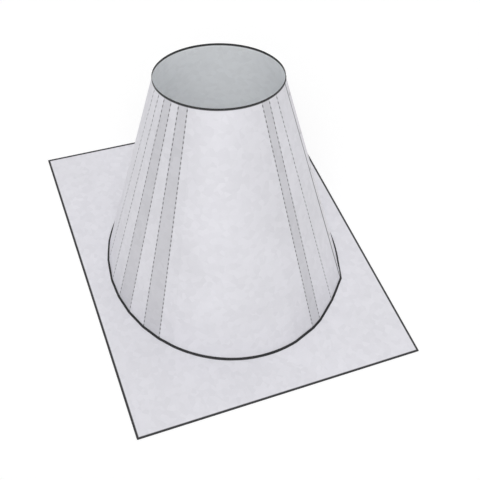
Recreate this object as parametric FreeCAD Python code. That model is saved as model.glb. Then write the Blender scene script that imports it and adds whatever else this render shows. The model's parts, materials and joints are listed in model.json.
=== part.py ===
import FreeCAD, Part
import math
import os
from FreeCAD import Vector

# Roof flashing for a round pipe, folded from thin galvanised sheet.
#
# A flat base plate lies on the roof slope. A tapered stack stands on it and follows the pipe, which is
# plumb, so the stack leans against the plate by the pitch of the roof.
#
# Frame: the plate's underside is the XY plane and its centre is the origin. +X runs along the eave,
# +Y runs up the slope and +Z points away from the roof.

# Sheet metal
SHEET = 0.7

# Base plate
PLATE_WIDTH = 508.0
PLATE_LENGTH = 610.0
CORNER_RADIUS = 1.5

# Roof slope: the rise in a level run
ROOF_RISE = 3.0
ROOF_RUN = 12.0

# Pipe, and the room round it in the neck
PIPE_DIAMETER = 203.2
PIPE_CLEARANCE = 3.0

# Stack, measured along the pipe's axis from the plate's underside
STACK_HEIGHT = 360.0
NECK_HEIGHT = 5.0
FLARE_ANGLE = 16.4
UPSLOPE_OFFSET = 5.0

# Seam: where it stands round the stack, and how far the outer edge laps over the inner one
SEAM_ANGLE = 326.0
LAP_WIDTH = 18.0

# Flat left on each side of the seam at its foot, in degrees round the base circle
SEAM_FLAT = 13.0

# Lines down the stack, in degrees from the seam towards the front: the angle on the rim, then at the base.
# Bend lines between the seam and the rolled front, from the one that ends the seam's flat
SEAM_BENDS = ((20.5, SEAM_FLAT), (30.5, 25.5), (38.5, 31.0))
# Bend lines between the rolled front and the rolled back
SIDE_BENDS = ((102.5, 105.5), (111.0, 114.5), (119.0, 124.5), (127.5, 134.0), (136.0, 144.0), (145.5, 156.0))
# Where the rolled front and the rolled back, both true cones, begin and end
ROLLED_FRONT = ((42.0, 42.0), (98.0, 98.0))
ROLLED_BACK = ((166.0, 166.0), (360 - SEAM_FLAT, 360 - SEAM_FLAT))

# Collar that the plate turns up inside the foot of the stack
COLLAR_HEIGHT = 12.0
COLLAR_GAP = 0.2

# Bead of sealant in the corner between stack and plate
BEAD_WIDTH = 3.0
BEAD_HEIGHT = 2.0

# Blind rivets down the lap
RIVET_SPACING = 75.0
RIVET_END_MARGIN = 22.0
RIVET_SHANK_RADIUS = 1.6
RIVET_HEAD_RADIUS = 3.2
RIVET_HEAD_HEIGHT = 1.1
RIVET_TAIL_RADIUS = 2.4
RIVET_TAIL_HEIGHT = 1.6
RIVET_HOLE_CLEARANCE = 0.1
RIVET_SEAT_CLEARANCE = 0.1

# How far the untrimmed stack runs on below the plate
TRIM_ALLOWANCE = 5.0

pitch = math.atan(ROOF_RISE / ROOF_RUN)
flare = math.radians(FLARE_ANGLE)
seam_flat = math.radians(SEAM_FLAT)
wall = SHEET / math.cos(flare)
bore_radius = PIPE_DIAMETER / 2 + PIPE_CLEARANCE
cone_top = STACK_HEIGHT - NECK_HEIGHT


def base_circle():
    """Height and radius of the circle that the untrimmed stack ends in, wholly below the plate."""
    top_radius = bore_radius + SHEET
    reach = math.tan(pitch) / math.cos(seam_flat)
    drop = reach * (top_radius + cone_top * math.tan(flare)) / (1 - reach * math.tan(flare))
    height = -drop - TRIM_ALLOWANCE
    return height, top_radius + (cone_top - height) * math.tan(flare)


base_height, base_radius = base_circle()


def polar(radius, angle, height):
    """Point round the pipe's axis, at an angle in degrees from the seam towards the front."""
    turn = -math.radians(angle)
    return Vector(radius * math.cos(turn), radius * math.sin(turn), height)


def line(start, end):
    return Part.LineSegment(start, end).toShape()


def arc(radius, start, end, height):
    middle = polar(radius, (start + end) / 2, height)
    return Part.Arc(polar(radius, start, height), middle, polar(radius, end, height)).toShape()


def strips():
    """Pairs of neighbouring lines, round the stack from one flat of the seam to the other."""
    lines = [*SEAM_BENDS, *ROLLED_FRONT, *SIDE_BENDS, *ROLLED_BACK]
    return list(zip(lines, lines[1:]))


def is_rolled(strip):
    return strip in (ROLLED_FRONT, ROLLED_BACK)


def lap_angle(radius):
    """Angle that the lap takes up on the rim."""
    return math.degrees(LAP_WIDTH / radius)


def rim_outline(radius, lap):
    """Closed outline at the top of the cone, a true circle apart from the step of the lap."""
    first = SEAM_BENDS[0][0]
    last = 360 - SEAM_FLAT
    blend = polar(radius + lap / 4, first / 2, cone_top)
    edges = [Part.Arc(polar(radius + lap, 0, cone_top), blend, polar(radius, first, cone_top)).toShape()]
    for start, end in strips():
        edges.append(arc(radius, start[0], end[0], cone_top))
    edge = 360 - lap_angle(radius)
    edges.append(arc(radius, last, edge, cone_top))
    if lap:
        edges.append(line(polar(radius, edge, cone_top), polar(radius + lap, edge, cone_top)))
    edges.append(arc(radius + lap, edge, 360, cone_top))
    return edges


def seam_corner(radius, lap):
    """Where the two flats beside the seam meet on the base circle's level, the lapped one raised."""
    along = (2 * radius + lap) / (2 * math.cos(seam_flat))
    across = lap / (2 * math.sin(seam_flat))
    return Vector(along, across, base_height)


def lap_edge(radius, lap):
    """Free edge of the lap at the same level."""
    outward = Vector(math.cos(seam_flat), math.sin(seam_flat), 0)
    along = Vector(-math.sin(seam_flat), math.cos(seam_flat), 0)
    return seam_corner(radius, 0) + along * LAP_WIDTH + outward * lap


def base_outline(radius, lap):
    """Closed outline on the base circle's level: flats between bend lines, arcs where the sheet is rolled."""
    edges = [line(seam_corner(radius, lap), polar(radius, SEAM_FLAT, base_height))]
    for strip in strips():
        start, end = [angles[1] for angles in strip]
        if is_rolled(strip):
            edges.append(arc(radius, start, end, base_height))
        else:
            edges.append(line(polar(radius, start, base_height), polar(radius, end, base_height)))
    edges.append(line(polar(radius, -SEAM_FLAT, base_height), lap_edge(radius, 0)))
    if lap:
        edges.append(line(lap_edge(radius, 0), lap_edge(radius, lap)))
    edges.append(line(lap_edge(radius, lap), seam_corner(radius, lap)))
    return edges


def rolled_face(rim_radius, foot_radius, angles):
    """Part of a true cone between two of its own straight lines."""
    start, end = angles
    side = line(polar(foot_radius, end[1], base_height), polar(rim_radius, end[0], cone_top))
    return side.revolve(Vector(0, 0, 0), Vector(0, 0, 1), end[0] - start[0])


def tapered_body(rim_radius, foot_radius, rim_lap=0.0, foot_lap=0.0):
    """Solid between the rim outline and the base outline, true cones where rolled and ruled elsewhere."""
    rim = rim_outline(rim_radius, rim_lap)
    base = base_outline(foot_radius, foot_lap)
    rolled = [False] + [is_rolled(strip) for strip in strips()]
    rolled += [False] * (len(rim) - len(rolled))
    faces = [Part.makeRuledSurface(upper, lower) for upper, lower, cone in zip(rim, base, rolled) if not cone]
    faces += [rolled_face(rim_radius, foot_radius, angles) for angles in (ROLLED_FRONT, ROLLED_BACK)]
    faces.append(Part.Face(Part.Wire(rim)))
    faces.append(Part.Face(Part.Wire(base)))
    shell = Part.makeShell(faces)
    shell.sewShape()
    body = Part.makeSolid(shell)
    if body.Volume < 0:
        body.reverse()
    return body


def stack_placement():
    """From the pipe's own frame, with the seam at angle zero, to the plate's frame."""
    lean = FreeCAD.Rotation(Vector(1, 0, 0), -math.degrees(pitch))
    turn = FreeCAD.Rotation(Vector(0, 0, 1), SEAM_ANGLE)
    return FreeCAD.Placement(Vector(0, UPSLOPE_OFFSET, 0), lean.multiply(turn))


placement = stack_placement()


def placed(shape):
    moved = shape.copy()
    moved.Placement = placement
    return moved


def slab(bottom, top):
    """Everything between two levels parallel to the plate."""
    size = 4 * (PLATE_LENGTH + STACK_HEIGHT)  # wider than the untrimmed stack at any lean
    return Part.makeBox(size, size, top - bottom, Vector(-size / 2, -size / 2, bottom))


def inner_body(inset):
    """Inside of the stack, drawn in by a horizontal inset."""
    return tapered_body(bore_radius - inset, base_radius - wall - inset)


def stack_sheet():
    """The stack as rolled, bumped and lapped, still running on below the plate."""
    outer = tapered_body(bore_radius + SHEET, base_radius, SHEET, wall)
    neck_face = Part.Face(Part.Wire(rim_outline(bore_radius + SHEET, SHEET)))
    neck = neck_face.extrude(Vector(0, 0, NECK_HEIGHT))
    bore = Part.makeCylinder(bore_radius, 2 * NECK_HEIGHT, Vector(0, 0, cone_top))
    return placed(outer.fuse(neck).cut(inner_body(0)).cut(bore))


def lap_ends():
    """Middle of the lap on its outer face, at the rim and on the base circle's level, in the pipe's frame."""
    half_angle = lap_angle(bore_radius + SHEET) / 2
    rim = polar(bore_radius + 2 * SHEET, -half_angle, cone_top)
    base = (seam_corner(base_radius, wall) + lap_edge(base_radius, wall)) / 2
    return rim, base


def lap_facing(share):
    """Outward normal of the lap, a share of the way from the rim to the base circle."""
    rim, base = lap_ends()
    rim_tangent = Vector(-rim.y, rim.x, 0)
    rim_tangent.normalize()
    base_tangent = Vector(-math.sin(seam_flat), math.cos(seam_flat), 0)
    tangent = rim_tangent * (1 - share) + base_tangent * share
    normal = tangent.cross(rim - base)
    normal.normalize()
    return placement.Rotation.multVec(normal)


def rivet_seats():
    """Centre and outward direction of each rivet, evenly spaced down the lap."""
    rim, base = [placement.multVec(end) for end in lap_ends()]
    full_run = (base - rim).Length
    run_to_plate = full_run * (rim.z - SHEET) / (rim.z - base.z)
    run = run_to_plate - 2 * RIVET_END_MARGIN
    gaps = max(1, round(run / RIVET_SPACING))
    seats = []
    for i in range(gaps + 1):
        share = (RIVET_END_MARGIN + run * i / gaps) / full_run
        seats.append((rim + (base - rim) * share, lap_facing(share)))
    return seats


def rivet(seat, outward):
    """Blind rivet: low head, shank through both layers, and the tail spread inside the stack."""
    grip = 2 * SHEET + RIVET_SEAT_CLEARANCE
    head = Part.makeCylinder(RIVET_HEAD_RADIUS, RIVET_HEAD_HEIGHT, Vector(0, 0, RIVET_SEAT_CLEARANCE))
    shank = Part.makeCylinder(RIVET_SHANK_RADIUS, grip + RIVET_SEAT_CLEARANCE, Vector(0, 0, -grip))
    tail = Part.makeCylinder(RIVET_TAIL_RADIUS, RIVET_TAIL_HEIGHT, Vector(0, 0, -grip - RIVET_TAIL_HEIGHT))
    body = head.fuse(shank).fuse(tail)
    body.Placement = FreeCAD.Placement(seat, FreeCAD.Rotation(Vector(0, 0, 1), outward))
    return body


def stack_cone():
    """The stack: cut to the plate's upper face, with the rivet holes through its lap."""
    sheet = stack_sheet().cut(slab(-STACK_HEIGHT - PLATE_LENGTH, SHEET))
    drill_radius = RIVET_SHANK_RADIUS + RIVET_HOLE_CLEARANCE
    drill_reach = 4 * SHEET
    for seat, outward in rivet_seats():
        start = seat - outward * drill_reach
        sheet = sheet.cut(Part.makeCylinder(drill_radius, 2 * drill_reach, start, outward))
    return sheet


def base_plate():
    """Flat sheet with its opening turned up into a collar that stands inside the stack."""
    outline = Part.makeBox(PLATE_WIDTH, PLATE_LENGTH, SHEET, Vector(-PLATE_WIDTH / 2, -PLATE_LENGTH / 2, 0))
    corners = [edge for edge in outline.Edges if abs(edge.tangentAt(edge.FirstParameter).z) > 0.5]
    flat = outline.makeFillet(CORNER_RADIUS, corners)
    collar_outside = placed(inner_body(COLLAR_GAP))
    collar_inside = placed(inner_body(COLLAR_GAP + wall))
    collar = collar_outside.common(slab(0, COLLAR_HEIGHT))
    return flat.fuse(collar).cut(collar_inside)


def seam_rivets():
    return Part.makeCompound([rivet(seat, outward) for seat, outward in rivet_seats()])


def foot_sealant():
    """Bead of sealant run round the foot, on the plate and against the stack."""
    around = placed(tapered_body(bore_radius + SHEET + BEAD_WIDTH, base_radius + BEAD_WIDTH))
    stack = placed(tapered_body(bore_radius + SHEET, base_radius, SHEET, wall))
    return around.common(slab(SHEET, SHEET + BEAD_HEIGHT)).cut(stack)


def main():
    os.makedirs("parts", exist_ok=True)
    nodes = {
        "base_plate": base_plate(),
        "stack_cone": stack_cone(),
        "seam_rivets": seam_rivets(),
        "foot_sealant": foot_sealant(),
    }
    for name, shape in nodes.items():
        print(name, shape.isValid(), len(shape.Solids), len(shape.Faces), round(shape.Volume, 1), shape.BoundBox)
        shape.exportStep("parts/" + name + ".step")


main()
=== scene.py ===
from collections import namedtuple
import json
import math

import bmesh
import bpy
from mathutils import Matrix, Vector, noise
from mathutils.bvhtree import BVHTree


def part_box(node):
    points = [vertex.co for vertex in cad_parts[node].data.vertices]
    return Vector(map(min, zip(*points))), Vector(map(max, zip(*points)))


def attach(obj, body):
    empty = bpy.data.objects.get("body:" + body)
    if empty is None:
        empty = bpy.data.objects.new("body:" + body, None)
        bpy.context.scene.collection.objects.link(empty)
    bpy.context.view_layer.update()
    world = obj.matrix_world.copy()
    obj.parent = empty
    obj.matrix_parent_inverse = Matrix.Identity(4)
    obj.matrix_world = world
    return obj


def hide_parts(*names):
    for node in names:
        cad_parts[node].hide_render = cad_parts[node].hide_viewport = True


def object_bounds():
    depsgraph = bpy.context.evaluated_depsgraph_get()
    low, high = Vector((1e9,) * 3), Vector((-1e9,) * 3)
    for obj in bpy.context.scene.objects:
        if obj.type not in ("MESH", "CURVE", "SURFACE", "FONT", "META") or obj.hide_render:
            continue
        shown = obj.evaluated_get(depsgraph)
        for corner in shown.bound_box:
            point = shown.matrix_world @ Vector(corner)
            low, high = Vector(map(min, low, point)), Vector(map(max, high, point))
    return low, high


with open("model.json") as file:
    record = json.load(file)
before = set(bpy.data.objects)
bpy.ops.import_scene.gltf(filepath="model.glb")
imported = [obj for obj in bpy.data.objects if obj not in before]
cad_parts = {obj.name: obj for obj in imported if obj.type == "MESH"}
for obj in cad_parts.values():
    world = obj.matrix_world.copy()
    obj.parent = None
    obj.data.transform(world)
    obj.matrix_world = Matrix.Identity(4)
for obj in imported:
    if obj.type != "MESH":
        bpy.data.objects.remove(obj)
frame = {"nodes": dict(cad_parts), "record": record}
cad_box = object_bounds()

# Camera: where it stands round the part and above the plate, and its tilt about its own axis, in degrees
VIEW_AZIMUTH = -28.10
VIEW_ELEVATION = 52.98
VIEW_ROLL = 8.93
# Focal length and sensor in millimetres, aim and distance in metres
LENS = 59.76
SENSOR = 36.0
AIM_FROM_CENTRE = Vector((-0.0132, -0.0880, -0.0374))
DISTANCE = 1.3077

# Stack, in the pipe's own frame: lengths in metres, angles in degrees
SHEET = 0.0007
NECK_HEIGHT = 0.005
FLARE_ANGLE = 16.4
LAP_WIDTH = 0.018
SEAM_ANGLE = 326.0
SEAM_FLAT = 13.0
# How far the untrimmed stack runs on below the plate
TRIM_ALLOWANCE = 0.005

# Bend lines, in degrees from the seam towards the front: the angle on the rim, then at the base
BENDS = {
    "seam_1": (20.5, SEAM_FLAT),
    "seam_2": (30.5, 25.5),
    "seam_3": (38.5, 31.0),
    "side_1": (102.5, 105.5),
    "side_2": (111.0, 114.5),
    "side_3": (119.0, 124.5),
    "side_4": (127.5, 134.0),
    "side_5": (136.0, 144.0),
    "side_6": (145.5, 156.0),
}

# Strips between two bends that carry a painted shade, standing for facets that face the light less; their
# tone, and how far their edges blur
SHADED_STRIPS = (("seam_2", "seam_3"), ("side_1", "side_2"), ("side_3", "side_4"))
STRIP_SHADE = 0.85
STRIP_BLUR = 0.0004

# Marks of the bending tool along each bend line: a faint line, in full to its core and gone at its reach,
# and darker strokes on it
LINE_CORE = 0.0004
LINE_REACH = 0.0014
LINE_DEPTH = 0.18
STROKE_DEPTH = 0.74
STROKE_PITCH = 0.008
# Where a stroke begins and is in full, as shares of the pitch from the middle of a gap
STROKE_BEGINS = 0.2
STROKE_FULL = 0.3

# Dull, dark band along a sheared edge of the sheet
EDGE_BAND = 0.0030
EDGE_FADE = 0.0014
EDGE_TONE = 0.05

# Free edge of the lap, and the crease that the brake leaves along the seam's peak: half widths and tones
LAP_LINE = 0.0016
LAP_LINE_TONE = 0.45
CREASE = 0.0018
CREASE_TONE = 0.20

# Zinc coat: linear colour outside, and lighter inside as painted light where little light reaches; then
# crystals, broad clouds and fine grain, each by its scale and the depth of its tone
ZINC = (0.72, 0.715, 0.755)
INSIDE_ZINC_PAINTED_LIGHT = (0.93, 0.945, 0.96)
SPANGLE_SCALE = 110.0
SPANGLE_TONE = 0.022
CLOUD_SCALE = 9.0
CLOUD_TONE = 0.025
GRAIN_SCALE = 900.0
GRAIN_TONE = 0.008
GRAIN_HEIGHT = 0.00004
ZINC_METALLIC = 0.45
ZINC_ROUGHNESS = 0.60
SPANGLE_ROUGHNESS = 0.05
CLOUD_ROUGHNESS = 0.03

# A face is wholly an inner one where the centre of the cone's top lies at least this far in front of it
INNER_FADE = 0.01

# Noise stays mostly between these two values
NOISE_LOW = 0.3
NOISE_HIGH = 0.7

# Blind rivet, in metres from the lap's outer face: the head's top, and its outline from tail to recess
RIVET_TOP = 0.0012
RIVET_OUTLINE = (
    (0.0, -0.0030), (0.0010, -0.0031), (0.0019, -0.0029), (0.0023, -0.0025), (0.0024, -0.0020),
    (0.0022, -0.0016), (0.0016, -0.0014), (0.0016, 0.00005), (0.0031, 0.0001), (0.0032, 0.0002),
    (0.0031, 0.00038), (0.0027, 0.00068), (0.0022, 0.00092), (0.0016, 0.00110), (0.0012, 0.00118),
    (0.0010, 0.0012), (0.0009, 0.00112), (0.00085, 0.0007), (0.00080, 0.00045), (0.0006, 0.00042),
    (0.0004, 0.00052), (0.0002, 0.00058), (0.0, 0.0006),
)
RIVET_STEPS = 40
# Least cosine between the normal of a rivet's outward face and the direction away from the pipe's axis
FACES_OUT = 0.9

# Bead of sealant: stations round the foot, and its outline as shares of its width and height
BEAD_STATIONS = 900
BEAD_OUTLINE = (
    (0, 0), (1, 0), (0.99, 0.28), (0.93, 0.55), (0.80, 0.78), (0.58, 0.93), (0.30, 0.99), (0, 1),
)
# How full the bead is, and how that wavers along it: depth, then scale of the noise
BEAD_FULLNESS = 0.93
BEAD_WAVER = (0.05, 9)
BEAD_RIPPLE = (0.02, 40)
# Its walls are measured this share of its height in from its bottom and its top
BEAD_PROBE = 0.1

# Sealant: linear colour, its darker and lighter blotches, and its ripples
SEALANT_BLACK = (0.018, 0.018, 0.020)
BLOTCH_SCALE = 60.0
BLOTCH_TONES = (0.9, 1.1)
SEALANT_ROUGHNESS = (0.55, 0.68)
SEALANT_SHINE = 0.3
RIPPLE_SCALE = 350.0
RIPPLE_HEIGHT = 0.0002

# Rivets: linear colour, and its darker and lighter scuffs
RIVET_ALLOY = (0.60, 0.60, 0.61)
SCUFF_SCALE = 700.0
SCUFF_TONES = (0.9, 1.08)
RIVET_ROUGHNESS = (0.3, 0.42)
RIVET_METALLIC = 0.8

# Floor: linear colour where it lights the part, with faint clouds, and colour and glow where it is seen
FLOOR_WHITE = (0.97, 0.97, 0.97)
FLOOR_CLOUD_SCALE = 3.0
FLOOR_CLOUD_TONE = 0.995
FLOOR_SHOWN = (0.60, 0.60, 0.60)
FLOOR_GLOW = 0.47
FLOOR_ROUGHNESS = 0.9
FLOOR_SHINE = 0.1
FLOOR_REACH = 30.0

# Even light of the world where it lights the part, and where it is seen
WORLD_LEVEL = 0.60
WORLD_SHOWN = 1.0

# Lamps: degrees round the part and above it, and strength
LAMPS = {"key": (-28.0, 50.0, 0.98), "back_fill": (150.0, 60.0, 0.19)}
LAMP_SPREAD = math.radians(40)

# The stack's cone, untrimmed: its top circle's centre and radius, the drop to its base circle and the radius
# there, and three directions, up the pipe, along the eave and across both
Cone = namedtuple("Cone", "top top_radius base_drop base_radius up across upslope")


class Graph:
    """Shader nodes of one material, by the part's own coordinates in metres."""

    def __init__(self, name):
        self.material = bpy.data.materials.new(name)
        self.material.use_nodes = True
        self.tree = self.material.node_tree
        self.tree.nodes.clear()
        output = self.tree.nodes.new("ShaderNodeOutputMaterial")
        self.shader = self.tree.nodes.new("ShaderNodeBsdfPrincipled")
        self.link(self.shader.outputs["BSDF"], output.inputs["Surface"])
        self.position = self.tree.nodes.new("ShaderNodeTexCoord").outputs["Object"]

    def link(self, source, target):
        self.tree.links.new(source, target)

    def put(self, value, socket):
        """Feeds a socket from another socket, or sets it to a plain value."""
        if isinstance(value, bpy.types.NodeSocket):
            self.link(value, socket)
        else:
            socket.default_value = value

    def math(self, operation, a, b):
        node = self.tree.nodes.new("ShaderNodeMath")
        node.operation = operation
        self.put(a, node.inputs[0])
        self.put(b, node.inputs[1])
        return node.outputs[0]

    def vector(self, operation, a, b=(0, 0, 0)):
        node = self.tree.nodes.new("ShaderNodeVectorMath")
        node.operation = operation
        self.put(a, node.inputs[0])
        self.put(b, node.inputs[1])
        return node.outputs["Value" if operation in ("LENGTH", "DOT_PRODUCT") else "Vector"]

    def scale(self, colour, factor):
        node = self.tree.nodes.new("ShaderNodeVectorMath")
        node.operation = "SCALE"
        self.put(colour, node.inputs[0])
        self.put(factor, node.inputs["Scale"])
        return node.outputs["Vector"]

    def ramp(self, value, low, high, at_low=0.0, at_high=1.0):
        """Smooth step between two values, level outside them."""
        node = self.tree.nodes.new("ShaderNodeMapRange")
        node.interpolation_type = "SMOOTHSTEP"
        self.put(value, node.inputs["Value"])
        node.inputs["From Min"].default_value = low
        node.inputs["From Max"].default_value = high
        node.inputs["To Min"].default_value = at_low
        node.inputs["To Max"].default_value = at_high
        return node.outputs["Result"]

    def noise(self, scale, detail):
        node = self.tree.nodes.new("ShaderNodeTexNoise")
        self.put(self.position, node.inputs["Vector"])
        node.inputs["Scale"].default_value = scale
        node.inputs["Detail"].default_value = detail
        return node.outputs["Fac"]

    def sway(self, pattern, depth):
        """Noise brought to plus or minus a depth."""
        return self.ramp(pattern, NOISE_LOW, NOISE_HIGH, -depth, depth)

    def crystals(self, scale):
        """Three random values for each crystal of a pattern that fills the surface."""
        node = self.tree.nodes.new("ShaderNodeTexVoronoi")
        self.put(self.position, node.inputs["Vector"])
        node.inputs["Scale"].default_value = scale
        split = self.tree.nodes.new("ShaderNodeSeparateColor")
        self.link(node.outputs["Color"], split.inputs["Color"])
        return split.outputs["Red"], split.outputs["Green"], split.outputs["Blue"]

    def mix_colour(self, share, first, second):
        node = self.tree.nodes.new("ShaderNodeMix")
        node.data_type = "RGBA"
        self.put(share, node.inputs["Factor"])
        for colour, name in ((first, "A"), (second, "B")):
            self.put(colour if isinstance(colour, bpy.types.NodeSocket) else (*colour, 1), node.inputs[name])
        return node.outputs["Result"]

    def bump(self, height, distance):
        node = self.tree.nodes.new("ShaderNodeBump")
        node.inputs["Distance"].default_value = distance
        self.link(height, node.inputs["Height"])
        self.link(node.outputs["Normal"], self.shader.inputs["Normal"])


def scaled(colour, factor):
    return tuple(channel * factor for channel in colour)


def untrimmed_cone(record):
    """The stack's cone, from the mount that stands for the pipe in its neck."""
    bore = next(mount for mount in record["mounts"] if mount["name"] == "pipe_bore")
    up = Vector(bore["axis"]).normalized()
    across = Vector((1, 0, 0))
    top = Vector(bore["pos_m"]) - up * bore["dims"]["length_mm"] / 2000
    top_radius = bore["dims"]["r_mm"] / 1000 + SHEET
    flare = math.tan(math.radians(FLARE_ANGLE))
    # The plate falls away by this much for each metre of radius, at the corner of the seam
    fall = math.tan(up.angle(Vector((0, 0, 1)))) / math.cos(math.radians(SEAM_FLAT))
    above_plate = top.z / up.z
    below_plate = fall * (top_radius + above_plate * flare) / (1 - fall * flare)
    base_drop = above_plate + below_plate + TRIM_ALLOWANCE
    return Cone(top, top_radius, base_drop, top_radius + base_drop * flare, up, across, up.cross(across))


def round_stack(cone, radius, angle, drop):
    """Point round the cone, by radius, angle from the seam towards the front, and drop from its top."""
    turn = math.radians(SEAM_ANGLE - angle)
    outward = cone.across * math.cos(turn) + cone.upslope * math.sin(turn)
    return cone.top + outward * radius - cone.up * drop


def bend_ends(cone, name):
    """Ends of a bend line, on the cone's top and base circles."""
    rim_angle, base_angle = BENDS[name]
    upper = round_stack(cone, cone.top_radius, rim_angle, 0)
    return upper, round_stack(cone, cone.base_radius, base_angle, cone.base_drop)


def distance_to_line(graph, start, end):
    direction = (end - start).normalized()
    offset = graph.vector("SUBTRACT", graph.position, tuple(start))
    return graph.vector("LENGTH", graph.vector("CROSS_PRODUCT", offset, tuple(direction)))


def side_of_line(graph, cone, start, end):
    """Signed distance from the plane through a bend line that faces round the stack, away from the seam."""
    to_middle = (start + end) / 2 - cone.top
    outward = to_middle - cone.up * to_middle.dot(cone.up)
    normal = (end - start).cross(outward).normalized()
    offset = graph.vector("SUBTRACT", graph.position, tuple(start))
    return graph.vector("DOT_PRODUCT", offset, tuple(normal))


def zinc_coat(graph, tone, inside=0.0):
    """Zinc with its crystals and grain; tone darkens it, and inside is the share of the inner face, which
    takes a lighter colour as painted light.
    """
    red, green, blue = graph.crystals(SPANGLE_SCALE)
    cloud = graph.noise(CLOUD_SCALE, detail=3.0)
    grain = graph.noise(GRAIN_SCALE, detail=2.0)
    light = graph.math("ADD", graph.ramp(red, 0, 1, -SPANGLE_TONE, SPANGLE_TONE), 1.0)
    light = graph.math("ADD", light, graph.sway(cloud, CLOUD_TONE))
    light = graph.math("ADD", light, graph.sway(grain, GRAIN_TONE))
    light = graph.math("MULTIPLY", light, tone)
    # Inner faces take the lighter zinc: painted light inside the stack
    colour = graph.scale(graph.mix_colour(inside, ZINC, INSIDE_ZINC_PAINTED_LIGHT), light)
    graph.link(colour, graph.shader.inputs["Base Color"])
    rough = graph.ramp(green, 0, 1, -SPANGLE_ROUGHNESS, SPANGLE_ROUGHNESS)
    rough = graph.math("ADD", rough, ZINC_ROUGHNESS)
    rough = graph.math("ADD", rough, graph.sway(cloud, CLOUD_ROUGHNESS))
    graph.link(rough, graph.shader.inputs["Roughness"])
    graph.shader.inputs["Metallic"].default_value = ZINC_METALLIC
    height = graph.math("ADD", graph.math("MULTIPLY", grain, 0.5), graph.math("MULTIPLY", blue, 0.5))
    graph.bump(height, GRAIN_HEIGHT)


def plate_material(node):
    """The flat sheet, dark along its sheared edges."""
    graph = Graph("galvanised_plate")
    low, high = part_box(node)
    half = (Vector(high) - Vector(low)) / 2
    centre = (Vector(high) + Vector(low)) / 2
    from_centre = graph.vector("ABSOLUTE", graph.vector("SUBTRACT", graph.position, tuple(centre)))
    split = graph.tree.nodes.new("ShaderNodeSeparateXYZ")
    graph.link(from_centre, split.inputs["Vector"])
    to_side = graph.math("SUBTRACT", half.x, split.outputs["X"])
    to_end = graph.math("SUBTRACT", half.y, split.outputs["Y"])
    edge = graph.math("MINIMUM", to_side, to_end)
    zinc_coat(graph, graph.ramp(edge, EDGE_BAND, EDGE_BAND + EDGE_FADE, EDGE_TONE, 1.0))
    return graph.material


def bend_marks(graph, cone, rise):
    """Tone of the tool marks: 1 on plain sheet, less on a bend line and least on its strokes."""
    nearest = None
    for name in BENDS:
        distance = distance_to_line(graph, *bend_ends(cone, name))
        nearest = distance if nearest is None else graph.math("MINIMUM", nearest, distance)
    mark = graph.ramp(nearest, LINE_CORE, LINE_REACH, 1.0, 0.0)
    wave = graph.math("PINGPONG", rise, STROKE_PITCH / 2)
    begins, full = STROKE_PITCH * STROKE_BEGINS, STROKE_PITCH * STROKE_FULL
    depth = graph.ramp(wave, begins, full, LINE_DEPTH, STROKE_DEPTH)
    return graph.math("SUBTRACT", 1.0, graph.math("MULTIPLY", mark, depth))


def seam_tone(graph, cone):
    """Tone of the seam: dark in the crease along its peak, and along the free edge of the lap behind it."""
    corner_radius = cone.base_radius / math.cos(math.radians(SEAM_FLAT))
    peak = round_stack(cone, corner_radius, 0, cone.base_drop)
    to_crease = distance_to_line(graph, round_stack(cone, cone.top_radius, 0, 0), peak)
    crease = graph.ramp(to_crease, CREASE / 2, CREASE, CREASE_TONE, 1.0)
    lap_angle = math.degrees(LAP_WIDTH / cone.top_radius)
    lap_top = round_stack(cone, cone.top_radius + SHEET / 2, -lap_angle, 0)
    # The foot of the flat behind the seam runs straight towards this point
    beyond = round_stack(cone, corner_radius, -2 * SEAM_FLAT, cone.base_drop)
    lap_foot = peak + (beyond - peak).normalized() * LAP_WIDTH
    to_lap = distance_to_line(graph, lap_top, lap_foot)
    return graph.math("MINIMUM", crease, graph.ramp(to_lap, LAP_LINE / 2, LAP_LINE, LAP_LINE_TONE, 1.0))


def painted_strip_shade(graph, cone):
    """Painted shade on the strips between some bends, standing for facets that face the light less."""
    tone = 1.0
    for first, second in SHADED_STRIPS:
        past_first = side_of_line(graph, cone, *bend_ends(cone, first))
        past_second = side_of_line(graph, cone, *bend_ends(cone, second))
        entered = graph.ramp(past_first, -STRIP_BLUR, STRIP_BLUR)
        not_left = graph.ramp(past_second, -STRIP_BLUR, STRIP_BLUR, 1.0, 0.0)
        on_strip = graph.math("MULTIPLY", entered, not_left)
        tone = graph.math("MULTIPLY", tone, graph.ramp(on_strip, 0, 1, 1.0, STRIP_SHADE))
    return tone


def stack_material(cone):
    """The bumped sheet: tool marks along its bends, painted shade on the strips between some, a dark rim and
    seam, and a lighter inside as painted light.
    """
    graph = Graph("galvanised_stack")
    offset = graph.vector("SUBTRACT", graph.position, tuple(cone.top))
    rise = graph.vector("DOT_PRODUCT", offset, tuple(cone.up))
    normal = graph.tree.nodes.new("ShaderNodeNewGeometry").outputs["Normal"]
    # Share of the inner face, which gets the lighter zinc as painted light
    inside = graph.ramp(graph.vector("DOT_PRODUCT", normal, offset), -INNER_FADE, 0.0, 1.0, 0.0)
    band = NECK_HEIGHT - EDGE_BAND
    tone = graph.ramp(rise, band - EDGE_FADE, band, 1.0, EDGE_TONE)
    tone = graph.math("MULTIPLY", tone, bend_marks(graph, cone, rise))
    # Painted shade on the strips between some bends
    tone = graph.math("MULTIPLY", tone, painted_strip_shade(graph, cone))
    tone = graph.math("MULTIPLY", tone, graph.math("MAXIMUM", seam_tone(graph, cone), inside))
    zinc_coat(graph, tone, inside)
    return graph.material


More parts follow.
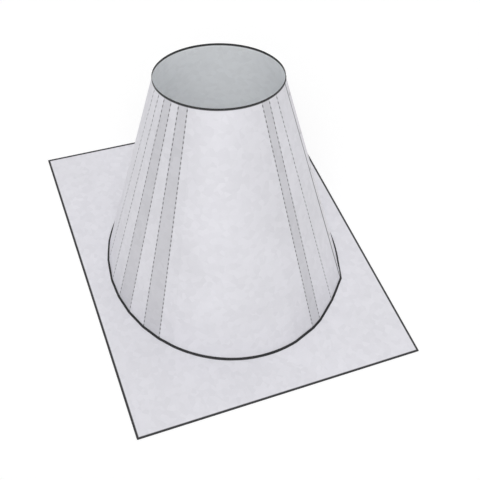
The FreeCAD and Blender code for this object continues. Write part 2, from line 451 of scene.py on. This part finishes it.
def sealant_material():
    """Cured black sealant, dull and a little blotched."""
    graph = Graph("sealant_black")
    blotch = graph.noise(BLOTCH_SCALE, detail=3.0)
    dark, light = [scaled(SEALANT_BLACK, tone) for tone in BLOTCH_TONES]
    graph.link(graph.mix_colour(blotch, dark, light), graph.shader.inputs["Base Color"])
    rough = graph.ramp(blotch, NOISE_LOW, NOISE_HIGH, *SEALANT_ROUGHNESS)
    graph.link(rough, graph.shader.inputs["Roughness"])
    graph.shader.inputs["Specular IOR Level"].default_value = SEALANT_SHINE
    graph.bump(graph.noise(RIPPLE_SCALE, detail=2.0), RIPPLE_HEIGHT)
    return graph.material


def rivet_material():
    """Plain aluminium alloy, lightly scuffed."""
    graph = Graph("rivet_alloy")
    scuff = graph.noise(SCUFF_SCALE, detail=3.0)
    dark, light = [scaled(RIVET_ALLOY, tone) for tone in SCUFF_TONES]
    graph.link(graph.mix_colour(scuff, dark, light), graph.shader.inputs["Base Color"])
    rough = graph.ramp(scuff, NOISE_LOW, NOISE_HIGH, *RIVET_ROUGHNESS)
    graph.link(rough, graph.shader.inputs["Roughness"])
    graph.shader.inputs["Metallic"].default_value = RIVET_METALLIC
    return graph.material


def rays_that_show(tree):
    """1 for rays that show the backdrop, straight, mirrored or through glass, and 0 for those that light."""
    path = tree.nodes.new("ShaderNodeLightPath")
    shown = path.outputs["Is Camera Ray"]
    for name in ("Is Glossy Ray", "Is Transmission Ray"):
        either = tree.nodes.new("ShaderNodeMath")
        either.operation = "MAXIMUM"
        tree.links.new(shown, either.inputs[0])
        tree.links.new(path.outputs[name], either.inputs[1])
        shown = either.outputs[0]
    return shown


def floor_material():
    """Pale floor that keeps the part's shadow; where it is seen, open floor comes out just white."""
    graph = Graph("studio_floor")
    shown = rays_that_show(graph.tree)
    cloud = graph.noise(FLOOR_CLOUD_SCALE, detail=1.0)
    lit = graph.mix_colour(cloud, FLOOR_WHITE, scaled(FLOOR_WHITE, FLOOR_CLOUD_TONE))
    graph.link(graph.mix_colour(shown, lit, FLOOR_SHOWN), graph.shader.inputs["Base Color"])
    graph.shader.inputs["Emission Color"].default_value = (1, 1, 1, 1)
    graph.link(graph.math("MULTIPLY", shown, FLOOR_GLOW), graph.shader.inputs["Emission Strength"])
    graph.shader.inputs["Roughness"].default_value = FLOOR_ROUGHNESS
    graph.shader.inputs["Specular IOR Level"].default_value = FLOOR_SHINE
    return graph.material


def lathe(mesh, centre, axis, outline, steps):
    """Revolves an outline of (radius, height) points, closed at the axis on both ends."""
    side = axis.orthogonal().normalized()
    ahead = axis.cross(side)
    rings = []
    for radius, height in outline:
        turns = [math.tau * step / steps for step in range(steps if radius else 1)]
        spokes = [(side * math.cos(turn) + ahead * math.sin(turn)) * radius for turn in turns]
        rings.append([mesh.verts.new(centre + axis * height + spoke) for spoke in spokes])
    for lower, upper in zip(rings, rings[1:]):
        for step in range(steps):
            after = (step + 1) % steps
            corners = [lower[step % len(lower)], lower[after % len(lower)]]
            corners += [upper[after % len(upper)], upper[step % len(upper)]]
            mesh.faces.new(list(dict.fromkeys(corners)))


def separate_solids(node):
    """A CAD node's mesh, and the faces of each separate solid in it."""
    mesh = bmesh.new()
    mesh.from_mesh(node.data)
    bmesh.ops.remove_doubles(mesh, verts=mesh.verts, dist=1e-6)
    seen = set()
    solids = []
    for first in mesh.faces:
        if first in seen:
            continue
        seen.add(first)
        # The list grows while the loop runs, until no neighbour is left
        faces = [first]
        for face in faces:
            for edge in face.edges:
                for neighbour in edge.link_faces:
                    if neighbour not in seen:
                        seen.add(neighbour)
                        faces.append(neighbour)
        solids.append(faces)
    return mesh, solids


def rivet_seats(node, cone):
    """Point on the lap's face and outward direction of each rivet in the CAD group."""
    mesh, solids = separate_solids(node)
    seats = []
    for faces in solids:
        corners = list(dict.fromkeys(corner for face in faces for corner in face.verts))
        middle = sum((corner.co for corner in corners), Vector()) / len(corners)
        from_top = middle - cone.top
        radial = (from_top - cone.up * from_top.dot(cone.up)).normalized()
        facing = [face for face in faces if face.normal.dot(radial) > FACES_OUT]
        outward = sum((face.normal * face.calc_area() for face in facing), Vector()).normalized()
        reach = max((corner.co - middle).dot(outward) for corner in corners)
        seats.append((middle + outward * (reach - RIVET_TOP), outward))
    mesh.free()
    return seats


def new_piece(name, mesh, material, node):
    """Turns a finished bmesh into a piece that stands for a CAD node."""
    bmesh.ops.recalc_face_normals(mesh, faces=mesh.faces)
    for face in mesh.faces:
        face.smooth = True
    data = bpy.data.meshes.new(name)
    mesh.to_mesh(data)
    mesh.free()
    data.materials.append(material)
    piece = bpy.data.objects.new(name, data)
    bpy.context.scene.collection.objects.link(piece)
    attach(piece, "root")
    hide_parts(node)


def domed_rivets(node, cone, material):
    """Blind rivets with a low dome, the recess of the pulled pin, and the bulb inside the stack."""
    mesh = bmesh.new()
    for seat, outward in rivet_seats(node, cone):
        lathe(mesh, seat, outward, RIVET_OUTLINE, RIVET_STEPS)
    new_piece("domed_rivets", mesh, material, node.name)


def bead_walls(walls, middle, turn, reach):
    """Where the CAD bead starts and ends on a level line out from the middle of the stack."""
    outward = Vector((math.cos(turn), math.sin(turn), 0))
    inner = walls.ray_cast(middle, outward)[0]
    # From outside, because the step at the lap hides part of the outer wall from the middle
    outer = walls.ray_cast(middle + outward * reach, -outward)[0]
    return inner, outer


def bead_fullness(turn):
    """Share of the CAD bead that the sealant fills, a little uneven along it."""
    fullness = BEAD_FULLNESS
    for layer, (depth, scale) in ((0, BEAD_WAVER), (2, BEAD_RIPPLE)):
        fullness += depth * noise.noise(Vector((math.cos(turn), math.sin(turn), layer)) * scale)
    return fullness


def sealant_bead(node, material):
    """Rounded bead run by hand in the corner between stack and plate, a little uneven in width."""
    low, high = [Vector(corner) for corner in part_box("foot_sealant")]
    centre = (low + high) / 2
    rise = high.z - low.z
    levels = (low.z + rise * BEAD_PROBE, high.z - rise * BEAD_PROBE)
    middles = [Vector((centre.x, centre.y, level)) for level in levels]
    reach = (high - low).length
    data = node.data
    walls = BVHTree.FromPolygons([v.co for v in data.vertices], [tuple(p.vertices) for p in data.polygons])
    mesh = bmesh.new()
    rings = []
    for station in range(BEAD_STATIONS):
        turn = math.tau * station / BEAD_STATIONS
        lower, upper = [bead_walls(walls, middle, turn, reach) for middle in middles]
        lean = (upper[0] - lower[0]) / (levels[1] - levels[0])
        foot = lower[0] - lean * (levels[0] - low.z)
        width = lower[1] - lower[0]
        full = bead_fullness(turn)
        corners = [foot + lean * (up * rise * full) + width * (across * full) for across, up in BEAD_OUTLINE]
        rings.append([mesh.verts.new(corner) for corner in corners])
    for ring, after in zip(rings, rings[1:] + rings[:1]):
        for i in range(len(ring)):
            j = (i + 1) % len(ring)
            mesh.faces.new((ring[i], ring[j], after[j], after[i]))
    new_piece("sealant_bead", mesh, material, node.name)


def dress(node, material):
    """Gives a CAD node a material in place of its own."""
    slots = node.material_slots
    if not slots:
        node.data.materials.append(material)
    for slot in slots:
        slot.material = material


def towards(azimuth, elevation):
    """Direction from the part to a place given in degrees; azimuth 0 is the eave's side."""
    turn, rise = math.radians(azimuth), math.radians(elevation)
    return Vector((math.sin(turn) * math.cos(rise), -math.cos(turn) * math.cos(rise), math.sin(rise)))


def add_camera(low, high):
    """Camera at the viewing angle, tilted about its own axis so that the stack stands upright in view."""
    back = towards(VIEW_AZIMUTH, VIEW_ELEVATION)
    level_right = Vector((0, 0, 1)).cross(back).normalized()
    level_up = back.cross(level_right)
    roll = math.radians(VIEW_ROLL)
    right = level_right * math.cos(roll) + level_up * math.sin(roll)
    upward = level_up * math.cos(roll) - level_right * math.sin(roll)
    turned = Matrix((right, upward, back)).transposed().to_4x4()
    aim = (low + high) / 2 + AIM_FROM_CENTRE
    camera = bpy.data.objects.new("camera", bpy.data.cameras.new("camera"))
    camera.data.lens = LENS
    camera.data.sensor_width = SENSOR
    camera.matrix_world = Matrix.Translation(aim + back * DISTANCE) @ turned
    bpy.context.scene.collection.objects.link(camera)
    bpy.context.scene.camera = camera


def add_lamp(name, azimuth, elevation, strength):
    """Broad soft lamp, given by where it stands round the part and above it, in degrees."""
    lamp = bpy.data.lights.new(name, "SUN")
    lamp.angle = LAMP_SPREAD
    lamp.energy = strength
    holder = bpy.data.objects.new(name, lamp)
    holder.rotation_euler = towards(azimuth, elevation).to_track_quat("Z", "Y").to_euler()
    bpy.context.scene.collection.objects.link(holder)


def add_world():
    """Even light from all round, seen as plain white."""
    world = bpy.data.worlds.new("studio")
    bpy.context.scene.world = world
    world.use_nodes = True
    tree = world.node_tree
    tree.nodes.clear()
    light = tree.nodes.new("ShaderNodeBackground")
    light.inputs["Color"].default_value = (1, 1, 1, 1)
    strength = tree.nodes.new("ShaderNodeMapRange")
    tree.links.new(rays_that_show(tree), strength.inputs["Value"])
    strength.inputs["To Min"].default_value = WORLD_LEVEL
    strength.inputs["To Max"].default_value = WORLD_SHOWN
    tree.links.new(strength.outputs["Result"], light.inputs["Strength"])
    output = tree.nodes.new("ShaderNodeOutputWorld")
    tree.links.new(light.outputs[0], output.inputs["Surface"])


def add_floor(level, material):
    """Wide flat floor at the level that the part lies on."""
    mesh = bpy.data.meshes.new("floor")
    sides = ((-1, -1), (1, -1), (1, 1), (-1, 1))
    mesh.from_pydata([(x * FLOOR_REACH, y * FLOOR_REACH, level) for x, y in sides], [], [(0, 1, 2, 3)])
    floor = bpy.data.objects.new("floor", mesh)
    floor.data.materials.append(material)
    bpy.context.scene.collection.objects.link(floor)


nodes = frame["nodes"]
cone = untrimmed_cone(frame["record"])
low, high = Vector(cad_box[0]), Vector(cad_box[1])

dress(nodes["base_plate"], plate_material("base_plate"))
dress(nodes["stack_cone"], stack_material(cone))
rivet_alloy = rivet_material()
sealant = sealant_material()
dress(nodes["seam_rivets"], rivet_alloy)
dress(nodes["foot_sealant"], sealant)
domed_rivets(nodes["seam_rivets"], cone, rivet_alloy)
sealant_bead(nodes["foot_sealant"], sealant)

add_camera(low, high)
add_floor(low.z, floor_material())
add_world()
for name, place in LAMPS.items():
    add_lamp(name, *place)
bpy.context.scene.view_settings.view_transform = "Standard"
